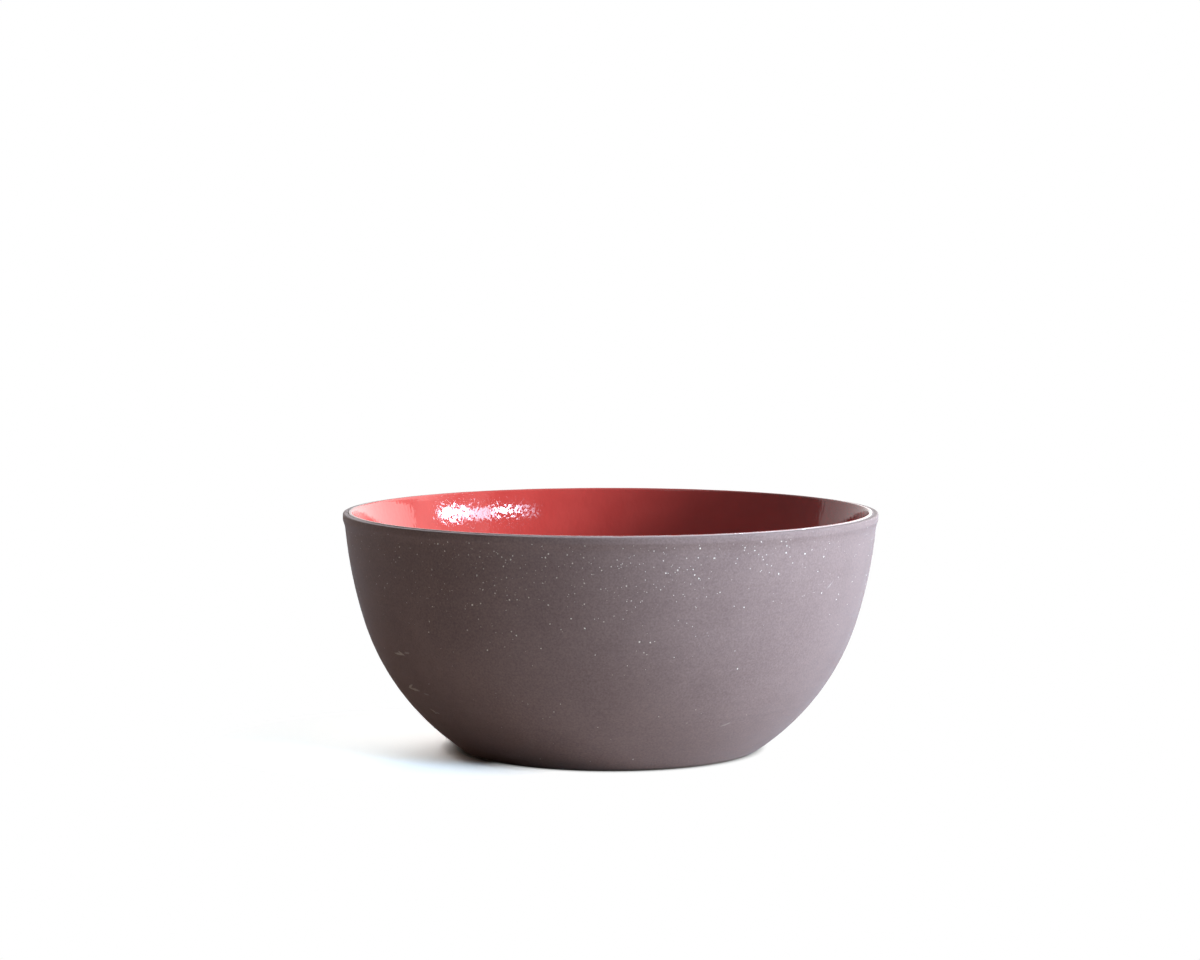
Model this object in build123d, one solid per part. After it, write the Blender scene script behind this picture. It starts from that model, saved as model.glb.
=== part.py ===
from build123d import *
import os
from math import cos, radians, sin, sqrt

# Deep serving bowl, turned in dark clay. A fine slip coats its outside, from the crown of the lip to just
# above the foot, and a gloss glaze lines its inside. The two coats meet along the crown, where the thicker
# glaze stands proud. Each piece is a turned solid: one region of the bowl's half section, carried once
# round the axis.
# Millimetres, +Z up. The origin is on the axis, in the plane that the foot stands on.

# Finished size, coats included
RIM_DIAMETER = 254.0  # across the widest line of the lip
HEIGHT = 113.4  # standing plane to the top of the glaze on the crown

# Coats
COAT_THICKNESS = 0.25
COAT_STOP = 1.5  # height above the standing plane where the slip coat ends
GLAZE_THICKNESS = 0.65

# Clay wall
BELLY_HEIGHT = 61.8  # where the long upper curve of the wall passes into the rounder lower one
BELLY_INSET = 9.9  # how far the wall lies inside the widest line of the lip there
WALL_LEAN = 5.5  # degrees off upright, just under the lip
WALL_THICKNESS = 6.5  # at the belly and below; the wall thins towards the lip

# Clay lip
LIP_HEIGHT = 8.0  # crown down to where the wall starts to flare
LIP_FLARE = 1.2  # how far the lip stands out past the wall there
LIP_THICKNESS = 5.0  # across its round crown

# Clay floor and foot
FLOOR_THICKNESS = 6.5  # over the recess
FLOOR_COVE = 45.0  # radius of the hollow curve where the floor rises into the wall
FOOT_DIAMETER = 139.8  # across the outer edge of the foot
FOOT_RING_WIDTH = 8.0
FOOT_RECESS = 2.5  # depth of the hollow inside the foot ring
FOOT_ROUNDING = 0.8  # edges of the foot ring


def left_of(heading):
    """Unit vector to the left of a heading in the half section."""
    return Vector(-heading.Y, heading.X).normalized()


def run(start, heading, *points):
    """Smooth run of arcs that leaves start along heading and passes through the points in turn.

    Returns its stations: a place and a heading at the start and at each point.
    """
    stations = [(start, heading)]
    for point in points:
        arc = TangentArc(stations[-1][0], point, tangent=stations[-1][1])
        stations.append((arc @ 1, arc % 1))
    return stations


def beside(stations, distance):
    """The same run moved sideways, to the left of its heading where distance is positive."""
    return [(place + left_of(heading) * distance, heading) for place, heading in stations]


def arcs(stations):
    """The arcs from each station of a run to the next."""
    return [TangentArc(near[0], far[0], tangent=near[1]) for near, far in zip(stations, stations[1:])]


def touch_point(start, heading, centre, radius):
    """Where the arc that leaves start along heading runs smoothly on to a circle.

    The run then follows the circle to the left where radius is positive, and to the right otherwise.
    """
    left = left_of(heading)
    reach = start - centre
    lead = (radius**2 - reach.dot(reach)) / (2 * (reach.dot(left) + radius))
    lead_centre = start + left * lead
    return lead_centre + (centre - lead_centre) * (lead / (lead - radius))


def turned(edges):
    """Solid of revolution of the region inside the edges, which are drawn as radius and height."""
    return revolve(Plane.XZ * make_face(edges), Axis.Z)


# Driving points of the clay's half section: X is the radius, Y the height
rim_radius = RIM_DIAMETER / 2 - COAT_THICKNESS
crown_height = HEIGHT - GLAZE_THICKNESS
lip_radius = LIP_THICKNESS / 2
floor_level = FOOT_RECESS + FLOOR_THICKNESS
crown = Vector(rim_radius - lip_radius, crown_height)
lip_centre = crown - Vector(0, lip_radius)
wall_top = Vector(rim_radius - LIP_FLARE, crown_height - LIP_HEIGHT)
belly = Vector(rim_radius - BELLY_INSET, BELLY_HEIGHT)
foot_edge = Vector(FOOT_DIAMETER / 2, 0)
ring_edge = foot_edge - Vector(FOOT_RING_WIDTH, 0)
recess_edge = ring_edge + Vector(0, FOOT_RECESS)
recess_middle = Vector(0, FOOT_RECESS)
floor_middle = Vector(0, floor_level)
upwards = Vector(sin(radians(WALL_LEAN)), cos(radians(WALL_LEAN)))
outwards = Vector(1, 0)

# The wall's outer face, and its inner face from the belly down, one wall thickness away
outer_wall = run(wall_top, -upwards, belly, foot_edge)
inner_belly, downwards = beside(outer_wall, -WALL_THICKNESS)[1]
lower_curve = arcs(outer_wall)[-1]
lower_centre = lower_curve.arc_center
lower_radius = lower_curve.radius
lower_inner_radius = lower_radius - WALL_THICKNESS

# Line on the outer face where the slip coat ends
coat_drop = COAT_STOP - lower_centre.Y
coat_edge = lower_centre + Vector(sqrt(lower_radius**2 - coat_drop**2), coat_drop)

# Cove: it touches the inner face of the wall and the level floor
cove_drop = floor_level + FLOOR_COVE - lower_centre.Y
cove_reach = lower_inner_radius - FLOOR_COVE
cove_centre = lower_centre + Vector(sqrt(cove_reach**2 - cove_drop**2), cove_drop)
cove_top = lower_centre + (cove_centre - lower_centre).normalized() * lower_inner_radius
floor_edge = cove_centre - Vector(0, FLOOR_COVE)

# The clay's outer and inner lines, each from the crown of the lip down
outer_lip = touch_point(wall_top, upwards, lip_centre, lip_radius)
inner_lip = touch_point(inner_belly, -downwards, lip_centre, -lip_radius)
outside = run(crown, outwards, outer_lip, wall_top, belly, coat_edge, foot_edge)
inside = run(crown, -outwards, inner_lip, inner_belly, cove_top, floor_edge)

# Clay body, with the edges of the foot ring rounded
underside = [Line(foot_edge, ring_edge), Line(ring_edge, recess_edge), Line(recess_edge, recess_middle)]
core = [Line(recess_middle, floor_middle), Line(floor_middle, floor_edge)]
clay = make_face(arcs(outside) + underside + core + arcs(inside))
foot_corners = [clay.vertices().sort_by_distance(edge)[0] for edge in (foot_edge, ring_edge, recess_edge)]
clay = fillet(foot_corners, FOOT_ROUNDING)

# Slip coat: down the outside from the crown to just above the foot
coat_back = outside[:-1]
coat_face = beside(coat_back, COAT_THICKNESS)
coat_ends = [Line(coat_back[end][0], coat_face[end][0]) for end in (0, -1)]

# Glaze: down the inside from the crown and across the floor
glaze_face = beside(inside, -GLAZE_THICKNESS)
glaze_middle = floor_middle + Vector(0, GLAZE_THICKNESS)
glaze_ends = [
    Line(crown, glaze_face[0][0]),
    Line(glaze_face[-1][0], glaze_middle),
    Line(glaze_middle, floor_middle),
    Line(floor_middle, floor_edge),
]

pieces = {
    "clay_body": revolve(Plane.XZ * clay, Axis.Z),
    "slip_coat": turned(arcs(coat_back) + arcs(coat_face) + coat_ends),
    "glaze_lining": turned(arcs(inside) + arcs(glaze_face) + glaze_ends),
}

os.makedirs("parts", exist_ok=True)
for name, piece in pieces.items():
    export_step(piece, f"parts/{name}.step")
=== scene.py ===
"""Looks of a deep serving bowl: burnished slip outside, coral glaze inside, bare clay under the foot."""
import logging
import math
from dataclasses import dataclass, field
from enum import Enum
from typing import Any, Sequence

import bpy
import numpy as np
from mathutils import Matrix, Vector
from numpy.typing import NDArray


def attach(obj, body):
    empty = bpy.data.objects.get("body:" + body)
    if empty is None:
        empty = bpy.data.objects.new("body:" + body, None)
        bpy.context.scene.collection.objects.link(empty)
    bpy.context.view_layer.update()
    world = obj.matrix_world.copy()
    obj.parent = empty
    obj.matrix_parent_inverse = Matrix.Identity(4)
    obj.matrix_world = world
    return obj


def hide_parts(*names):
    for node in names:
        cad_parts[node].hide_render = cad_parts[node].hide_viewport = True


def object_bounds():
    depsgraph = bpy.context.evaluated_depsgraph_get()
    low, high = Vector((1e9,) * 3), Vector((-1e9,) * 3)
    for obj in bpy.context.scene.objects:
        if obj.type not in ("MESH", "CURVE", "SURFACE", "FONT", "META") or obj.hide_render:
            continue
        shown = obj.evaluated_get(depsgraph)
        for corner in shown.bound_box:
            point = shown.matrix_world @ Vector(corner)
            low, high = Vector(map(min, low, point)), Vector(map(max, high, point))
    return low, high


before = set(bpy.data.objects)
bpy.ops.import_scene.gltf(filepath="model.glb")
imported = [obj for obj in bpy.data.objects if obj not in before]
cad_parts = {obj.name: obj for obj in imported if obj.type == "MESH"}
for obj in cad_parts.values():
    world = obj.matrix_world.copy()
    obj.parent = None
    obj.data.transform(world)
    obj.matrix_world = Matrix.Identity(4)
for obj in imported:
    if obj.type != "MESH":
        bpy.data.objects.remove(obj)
CAD_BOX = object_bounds()

LOG = logging.getLogger("bowl")
MM = 0.001  # sizes below are in millimetres, and the scene is in metres
FULL_TURN = 2 * math.pi
BODY = "root"  # the one body of a part with no joints
MIX_A, MIX_B = 6, 7  # colour inputs of the Mix node
COLOURS = {"data_type": "RGBA", "out": 2}  # its setting for colours, and its colour output
WHITE = "#FFFFFF"
WINDOW_LIGHT = "#C7E5FF"

Floats = NDArray[np.float64]
Socket = bpy.types.NodeSocket


class Solid(Enum):
    """CAD nodes that the dressed pieces stand for."""

    CLAY_BODY = "clay_body"
    SLIP_COAT = "slip_coat"
    GLAZE_LINING = "glaze_lining"


class Slot(Enum):
    """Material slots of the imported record."""

    FIRED_CLAY = "fired_clay"
    BURNISHED_SLIP = "burnished_slip"
    CORAL_GLAZE = "coral_glaze"


class Mark(Enum):
    """Point attributes that carry the making of a surface to its finish."""

    FROM_CROWN = "from_crown"  # millimetres along the surface from the crown of the lip
    WEAR = "wear"  # 1 where the foot rubs on the table, 0 elsewhere
    GLOW = "glow"  # brightness of a studio card


def linear(colour: str) -> tuple[float, float, float, float]:
    """Turn an sRGB hex colour into linear light.

    Args:
        colour: Six hex digits after a hash.

    Returns:
        Linear red, green and blue, and a full alpha.
    """
    srgb = np.array([int(colour[place:place + 2], 16) for place in (1, 3, 5)]) / 255
    light = np.where(srgb <= 0.04045, srgb / 12.92, ((srgb + 0.055) / 1.055) ** 2.4)
    return (*light.tolist(), 1.0)


def pitch(size: float) -> float:
    """Give the scale of a pattern whose real size is in millimetres."""
    return 1 / (size * MM)


@dataclass(frozen=True)
class Graph:
    """Node tree of a material or the world."""

    tree: bpy.types.NodeTree

    @classmethod
    def of(cls, owner: bpy.types.Material | bpy.types.World) -> "Graph":
        """Clear the nodes of a material or the world."""
        owner.use_nodes = True
        owner.node_tree.nodes.clear()
        return cls(owner.node_tree)

    def add(
        self, kind: str, inputs: dict[str | int, Any] | None = None, out: str | int = 0, **settings: Any
    ) -> Socket | None:
        """Add a node with its settings, and link or set its inputs.

        Args:
            kind: Blender's name for the node's type, without the words that all of them start with.
            inputs: A socket to link, or a value to set, for each input by name or place.
            out: The output that is wanted, by name or place.
            **settings: Properties of the node itself.

        Returns:
            That output, or None where the node has no outputs.
        """
        node = self.tree.nodes.new("ShaderNode" + kind)
        for name, value in settings.items():
            setattr(node, name, value)
        for key, value in (inputs or {}).items():
            if isinstance(value, Socket):
                self.tree.links.new(value, node.inputs[key])
            else:
                node.inputs[key].default_value = value
        return node.outputs[out] if len(node.outputs) else None


def smooth_step(values: Floats, low: float, high: float) -> Floats:
    """Rise smoothly from 0 at low to 1 at high: three squares less two cubes of the share of the way."""
    share = np.clip((values - low) / (high - low), 0.0, 1.0)
    return share * share * (3.0 - 2.0 * share)


def angles_round(columns: int) -> Floats:
    """Share a full turn into equal angles."""
    return np.arange(columns) * FULL_TURN / columns


def left_of(heading: Floats) -> Floats:
    """Give the unit vector to the left of a heading in the half section."""
    return np.array([-heading[1], heading[0]])


def arc_turn(near: Floats, far: Floats, heading: Floats) -> float:
    """Give the turn of the arc between two points: twice the angle from its first heading to its chord."""
    return 2 * math.atan2((far - near) @ left_of(heading), (far - near) @ heading)


@dataclass(frozen=True)
class ArcRun:
    """Smooth run of circular arcs in the half section, as radius and height in millimetres.

    Attributes:
        points: The places that the run passes through.
        headings: The unit heading at each place.
    """

    points: tuple[Floats, ...]
    headings: tuple[Floats, ...]

    @classmethod
    def through(cls, heading: Floats, *points: Floats) -> "ArcRun":
        """Draw the run that leaves the first point along a heading and passes through the others.

        Args:
            heading: Unit heading at the first point.
            *points: The places in order.

        Returns:
            The run.
        """
        headings = [heading]
        for near, far in zip(points, points[1:]):
            ahead = headings[-1]
            turn = arc_turn(near, far, ahead)
            headings.append(math.cos(turn) * ahead + math.sin(turn) * left_of(ahead))
        return cls(tuple(points), tuple(headings))

    def beside(self, distance: float) -> "ArcRun":
        """Move the run sideways, to the left of its heading where the distance is positive."""
        moved = [point + left_of(ahead) * distance for point, ahead in zip(self.points, self.headings)]
        return ArcRun(tuple(moved), self.headings)

    def sampled(self, steps: Sequence[float]) -> Floats:
        """Lay points along the run.

        A point of an arc is its start, plus the radius times the sine of the turn so far along the
        heading, plus the radius times one less the cosine of that turn to the left.

        Args:
            steps: Longest spacing on each arc.

        Returns:
            One row of radius and height for each point.
        """
        laid = [self.points[0][None]]
        for near, far, ahead, step in zip(self.points, self.points[1:], self.headings, steps):
            turn = arc_turn(near, far, ahead)
            radius = math.dist(near, far) / (2 * math.sin(turn / 2))
            count = max(2, math.ceil(abs(radius * turn) / step))
            angle = np.linspace(0.0, turn, count + 1)[1:, None]
            laid.append(near + radius * (np.sin(angle) * ahead + (1 - np.cos(angle)) * left_of(ahead)))
        return np.concatenate(laid)


def touch_point(start: Floats, heading: Floats, centre: Floats, radius: float) -> Floats:
    """Find where the arc that leaves a point along a heading runs smoothly on to a circle.

    The arc's centre lies beside the start, as far from it as from the circle's own rim, and the two
    centres and the touching point are on one line.

    Args:
        start: Where the arc starts.
        heading: Unit heading there.
        centre: Centre of the circle.
        radius: Radius of the circle, positive where the run follows it to the left.

    Returns:
        The touching point.
    """
    side = left_of(heading)
    reach = start - centre
    lead = (radius**2 - reach @ reach) / (2 * (reach @ side + radius))
    lead_centre = start + side * lead
    return lead_centre + (centre - lead_centre) * (lead / (lead - radius))


def rounded(corners: Floats, radius: float, count: int) -> Floats:
    """Round the inner corners of a broken line with arcs.

    The arc's centre is on the line that halves the corner, at the radius over the sine of half of it.

    Args:
        corners: The line's corners, its two ends among them.
        radius: Radius of each arc.
        count: Points on each arc.

    Returns:
        The points of the rounded line.
    """
    laid = [corners[:1]]
    for before, corner, after in zip(corners, corners[1:], corners[2:]):
        back = (before - corner) / math.dist(before, corner)
        on = (after - corner) / math.dist(after, corner)
        half = math.acos(np.clip(back @ on, -1.0, 1.0)) / 2
        middle = (back + on) / math.hypot(*(back + on))
        centre = corner + middle * radius / math.sin(half)
        first = corner + back * radius / math.tan(half) - centre
        last = corner + on * radius / math.tan(half) - centre
        share = np.linspace(0.0, 1.0, count)[:, None]
        sweep = math.pi - 2 * half
        swept = np.sin((1 - share) * sweep) * first + np.sin(share * sweep) * last
        laid.append(centre + swept / math.sin(sweep))
    return np.concatenate([*laid, corners[-1:]])


def squared_lip(turn: Floats, radius: float, lean: float, reach: float, power: float) -> Floats:
    """Square a side of the lip, which is a quarter circle on the solids.

    The crown is level and the side is straight. From the round's centre the crown lies at the radius
    over the cosine of the turn, and the side at its reach over the sine of the turn and the lean.
    One over the dressed distance is the root of the summed powers of one over each of these.

    Args:
        turn: Angle from the crown in radians.
        radius: Radius of the quarter circle in millimetres.
        lean: Angle of the side off upright in radians.
        reach: Distance of the side from the round's centre in millimetres.
        power: Power of the sum, which sets how tight the edge is.

    Returns:
        Height above the quarter circle in millimetres.
    """
    turn = np.clip(turn, 0.0, math.pi / 2)
    powers = (np.cos(turn) / radius) ** power + (np.sin(turn + lean) / reach) ** power
    return powers ** (-1.0 / power) - radius


@dataclass(frozen=True)
class Section:
    """Half section of the bowl, from the same sizes as its solids, in millimetres.

    Attributes:
        rim_diameter: Across the widest line of the lip, coat included.
        height: From the standing plane to the top of the glaze on the crown.
    """

    rim_diameter: float
    height: float
    coat: float = 0.25
    coat_stop: float = 1.5
    glaze: float = 0.65
    belly_height: float = 61.8
    belly_inset: float = 9.9
    wall_lean: float = 5.5
    wall: float = 6.5
    lip_height: float = 8.0
    lip_flare: float = 1.2
    lip_thickness: float = 5.0
    floor: float = 6.5
    floor_cove: float = 45.0
    foot_diameter: float = 139.8
    foot_ring: float = 8.0
    foot_recess: float = 2.5
    foot_rounding: float = 0.8
    inside_steps: tuple[float, ...] = (1.0, 6.0, 6.0, 5.0)  # spacing of points on the clay under the glaze
    outside_steps: tuple[float, ...] = (1.0, 2.0, 6.0, 6.0)  # the same under the coat
    rounding_points: int = 7  # on each edge of the foot ring
    recess_points: int = 80  # across the recess, from its edge to its middle

    @classmethod
    def of_frame(cls) -> "Section":
        """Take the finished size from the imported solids."""
        low, high = CAD_BOX
        return cls(rim_diameter=round((high.x - low.x) / MM, 1), height=round(high.z / MM, 1))

    @property
    def recess_radius(self) -> float:
        """Radius of the recess inside the foot ring."""
        return self.foot_diameter / 2 - self.foot_ring

    def _clay_lines(self) -> tuple[ArcRun, ArcRun]:
        """Draw the clay's outer and inner line, each from the crown of the lip down."""
        rim = self.rim_diameter / 2 - self.coat
        top = self.height - self.glaze
        lip = self.lip_thickness / 2
        crown = np.array([rim - lip, top])
        lip_centre = np.array([rim - lip, top - lip])
        wall_top = np.array([rim - self.lip_flare, top - self.lip_height])
        belly = np.array([rim - self.belly_inset, self.belly_height])
        foot = np.array([self.foot_diameter / 2, 0.0])
        lean = math.radians(self.wall_lean)
        upwards = np.array([math.sin(lean), math.cos(lean)])
        outwards = np.array([1.0, 0.0])

        outer = ArcRun.through(-upwards, wall_top, belly, foot)
        inner_belly = outer.beside(-self.wall).points[1]
        downwards = outer.headings[1]
        lower_radius = math.dist(belly, foot) / (2 * math.sin(arc_turn(belly, foot, downwards) / 2))
        lower_centre = belly + left_of(downwards) * lower_radius
        lower_radius = abs(lower_radius)

        coat_drop = self.coat_stop - lower_centre[1]
        coat_edge = lower_centre + np.array([math.sqrt(lower_radius**2 - coat_drop**2), coat_drop])
        cove_drop = self.foot_recess + self.floor + self.floor_cove - lower_centre[1]
        cove_reach = lower_radius - self.wall - self.floor_cove
        to_cove = np.array([math.sqrt(cove_reach**2 - cove_drop**2), cove_drop])
        cove_top = lower_centre + to_cove * (lower_radius - self.wall) / cove_reach
        floor_edge = lower_centre + to_cove - np.array([0.0, self.floor_cove])

        outer_lip = touch_point(wall_top, upwards, lip_centre, lip)
        inner_lip = touch_point(inner_belly, -downwards, lip_centre, -lip)
        outside = ArcRun.through(outwards, crown, outer_lip, wall_top, belly, coat_edge)
        inside = ArcRun.through(-outwards, crown, inner_lip, inner_belly, cove_top, floor_edge)
        return outside, inside

    @property
    def outside(self) -> ArcRun:
        """The clay's outer line, from the crown down to where the slip coat ends."""
        return self._clay_lines()[0]

    @property
    def inside(self) -> ArcRun:
        """The clay's inner line, from the crown down to the level floor."""
        return self._clay_lines()[1]

    def underside(self) -> Floats:
        """Lay points from the end of the slip coat round the foot ring to the middle of the recess."""
        inner = self.recess_radius
        ring = [[self.foot_diameter / 2, 0.0], [inner, 0.0], [inner, self.foot_recess]]
        corners = np.array([self.outside.points[-1], *ring, [0.0, self.foot_recess]])
        line = rounded(corners, self.foot_rounding, self.rounding_points)
        recess = np.linspace(line[-2], line[-1], self.recess_points)[1:]
        return np.concatenate([line[:-1], recess])


@dataclass(frozen=True)
class Ripples:
    """Waves that the making leaves in a turned surface.

    The height at a length along the section and an angle round the axis is the sum, over the waves, of
    the amplitude times the cosine of the turns along, plus the lobes times the angle, plus a phase.

    Attributes:
        lengths: Wave lengths along the section, in millimetres.
        lobes: Waves round the axis, for each of the lengths.
        amplitudes: Half heights in millimetres, for each of the lengths.
        seed: Seed of the phases.
    """

    lengths: tuple[float, ...]
    lobes: tuple[int, ...]
    amplitudes: tuple[float, ...]
    seed: int

    @classmethod
    def scattered(
        cls, count: int, lengths: tuple[float, float], most_lobes: int, amplitude: float, seed: int
    ) -> "Ripples":
        """Scatter waves of many directions.

        Args:
            count: Number of waves.
            lengths: Shortest and longest wave along the section, in millimetres.
            most_lobes: Most waves round the axis.
            amplitude: Half height of the longest wave in millimetres; shorter ones are lower.
            seed: Seed of the choice.

        Returns:
            The waves.
        """
        dice = np.random.default_rng(seed)
        along = np.exp(dice.uniform(math.log(lengths[0]), math.log(lengths[1]), count))
        around = dice.integers(-most_lobes, most_lobes + 1, count)
        heights = amplitude * along / lengths[1]
        return cls(tuple(along.tolist()), tuple(around.tolist()), tuple(heights.tolist()), seed)

    def relief(self, along: Floats, angle: Floats) -> Floats:
        """Work out the height of the surface, never above its nominal place.

        Args:
            along: Length along the section, in millimetres.
            angle: Angle round the axis, in radians, of a shape that goes with the lengths.

        Returns:
            Heights in millimetres, zero or below.
        """
        phase = np.random.default_rng(self.seed).uniform(0.0, FULL_TURN, len(self.lengths))
        turns = FULL_TURN * along[..., None] / np.array(self.lengths)
        waves = np.cos(turns + angle[..., None] * np.array(self.lobes) + phase)
        return (waves - 1.0) @ np.array(self.amplitudes)


def lengths_along(line: Floats) -> Floats:
    """Add up the distances from point to point of a line."""
    return np.concatenate([[0.0], np.cumsum(np.hypot(*np.diff(line, axis=0).T))])


def normals_of(line: Floats, loop: bool) -> Floats:
    """Give the unit normals to the left of a line, from each point's two neighbours.

    Args:
        line: The points.
        loop: Whether the last point comes before the first.

    Returns:
        One unit vector for each point.
    """
    if loop:
        ahead = np.roll(line, -1, axis=0) - np.roll(line, 1, axis=0)
    else:
        ahead = np.gradient(line, axis=0)
    side = np.stack([-ahead[:, 1], ahead[:, 0]], axis=1)
    return side / np.hypot(*side.T)[:, None]


def add_object(name: str, mesh: bpy.types.Mesh) -> bpy.types.Object:
    """Put a mesh into the scene, at the origin."""
    made = bpy.data.objects.new(name, mesh)
    bpy.context.collection.objects.link(made)
    return made


@dataclass(frozen=True)
class TurnedPiece:
    """A half section carried once round the axis, as one closed mesh.

    Its points are radius and height in millimetres, with the piece on their right.

    Attributes:
        name: Name of the piece.
        face: Points of the face that shows.
        relief: Height of the surface above the face, in millimetres, for each point and column.
        mark: Point attribute that the finish reads.
        values: Its value at each point of the face; it is zero elsewhere.
        before: Hidden points of the section ahead of the face.
        after: Hidden points of the section past the face.
        sharp: Degrees between faces past which an edge is shaded sharp.
        map_edge: Margin of the map for baked textures, as a share of its side.
        hidden_share: Share of its length that a hidden face gets on that map.
    """

    name: str
    face: Floats
    relief: Floats
    mark: Mark
    values: Floats
    before: Floats = field(default_factory=lambda: np.zeros((0, 2)))
    after: Floats = field(default_factory=lambda: np.zeros((0, 2)))
    sharp: float = 40.0
    map_edge: float = 0.004
    hidden_share: float = 0.02

    @property
    def columns(self) -> int:
        """Points round the axis."""
        return self.relief.shape[1]

    @property
    def line(self) -> Floats:
        """The whole section."""
        return np.concatenate([self.before, self.face, self.after])

    @property
    def loop(self) -> bool:
        """Whether the section is a closed loop, clear of the axis."""
        return bool(self.line[0, 0] > 0.0)

    def _whole(self, values: Floats) -> Floats:
        """Stretch values of the face over the whole section, with zeros where it is hidden."""
        return np.pad(values, [(len(self.before), len(self.after))] + [(0, 0)] * (values.ndim - 1))

    def build(self) -> bpy.types.Object:
        """Make the mesh object.

        A vertex lies at the radius times the cosine and sine of its angle, and at its height, once the
        relief has moved its point of the section along the normal there. A point on the axis makes one
        vertex. Each pair of neighbouring rows is joined by a ring of faces, of triangles at the axis.

        Returns:
            The new object, at the origin, shaded smooth up to its edges.
        """
        line, columns = self.line, self.columns
        rows = len(line)
        angle = angles_round(columns)
        normals = normals_of(line, self.loop)
        place = line[:, None, :] + normals[:, None, :] * self._whole(self.relief)[:, :, None]
        radius, height = place[..., 0], place[..., 1]
        points = np.stack([radius * np.cos(angle), radius * np.sin(angle), height], axis=-1) * MM

        number = np.arange(rows * columns).reshape(rows, columns)
        if not self.loop:
            number[[0, -1]] = number[[0, -1], :1]
        used, number = np.unique(number, return_inverse=True)
        number = number.reshape(rows, columns)
        near = np.arange(rows if self.loop else rows - 1)
        upper, lower = number[near], number[(near + 1) % rows]
        quads = np.stack([upper, lower, np.roll(lower, -1, axis=1), np.roll(upper, -1, axis=1)], axis=-1)
        kept = [[0, 1, 2, 3]] * len(near)
        if not self.loop:
            kept[0], kept[-1] = [0, 1, 2], [0, 1, 3]
        faces = [face for ring, corners in zip(quads, kept) for face in ring[:, corners].tolist()]
        flat = [ring[:, corners].reshape(-1, 2) for ring, corners in zip(self._map_corners(near), kept)]

        mesh = bpy.data.meshes.new(self.name)
        mesh.from_pydata(points.reshape(-1, 3)[used].tolist(), [], faces)
        bake_map = mesh.uv_layers.new(name="OFBake")
        bake_map.data.foreach_set("uv", np.concatenate(flat).astype(np.float32).ravel())
        layer = mesh.attributes.new(self.mark.value, "FLOAT", "POINT")
        values = np.repeat(self._whole(self.values), columns)[used]
        layer.data.foreach_set("value", values.astype(np.float32))
        mesh.shade_smooth()
        mesh.set_sharp_from_angle(angle=math.radians(self.sharp))
        mesh.validate()
        return add_object(self.name, mesh)

    def _map_corners(self, near: NDArray[np.int64]) -> Floats:
        """Lay the faces out flat for the baked textures, in two half turns one above the other.

        Across is the angle, and up is the length along the section, in which hidden faces count little.

        Args:
            near: The first row of each ring of faces.

        Returns:
            The four corners of each face on the unit square.
        """
        line, shown = self.line, self._whole(np.ones(len(self.face), dtype=bool))
        if self.loop:
            line, shown = np.concatenate([line, line[:1]]), np.concatenate([shown, shown[:1]])
        steps = np.hypot(*np.diff(line, axis=0).T)
        steps = steps * np.where(shown[1:] & shown[:-1], 1.0, self.hidden_share)
        up = np.concatenate([[0.0], np.cumsum(steps)])
        edge, inner = self.map_edge, 1 - 2 * self.map_edge
        up = edge + inner * up / up[-1]
        half = self.columns // 2
        column = np.arange(self.columns)
        above = column // half
        across = edge + inner * (column % half) / half
        beyond = edge + inner * (column % half + 1) / half
        low = (above + up[near][:, None]) / 2
        high = (above + up[near + 1][:, None]) / 2
        across, low, high, beyond = np.broadcast_arrays(across, low, high, beyond)
        corners = [(across, low), (across, high), (beyond, high), (beyond, low)]
        return np.stack([np.stack(corner, axis=-1) for corner in corners], axis=-2)


@dataclass(frozen=True)
class Stroke:
    """A thin flat box round a stroke on a surface, in metres and radians.

    Attributes:
        middle: Its middle.
        turn: Euler angles that turn X along the stroke and Z out of the surface.
        half_size: Half its length, width and depth.
        strength: How much it shows, from 0 to 1.
    """

    middle: tuple[float, ...]
    turn: tuple[float, ...]
    half_size: tuple[float, ...]
    strength: float


@dataclass(frozen=True)
class Finish:
    """Base of the finishes: a named material with one principled shader, and sizes in millimetres.

    Attributes:
        name: The real material and how its surface was made.
    """

    name: str

    def start(self) -> tuple[bpy.types.Material, Graph, Socket]:
        """Make the empty material.

        Returns:
            The material, its graph and the object coordinates.
        """
        material = bpy.data.materials.new(self.name)
        graph = Graph.of(material)
        return material, graph, graph.add("TexCoord", out="Object")

    def close(self, graph: Graph, inputs: dict[str | int, Any]) -> None:
        """Add the principled shader with its inputs, and the output."""
        graph.add("OutputMaterial", {"Surface": graph.add("BsdfPrincipled", inputs)})


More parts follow.
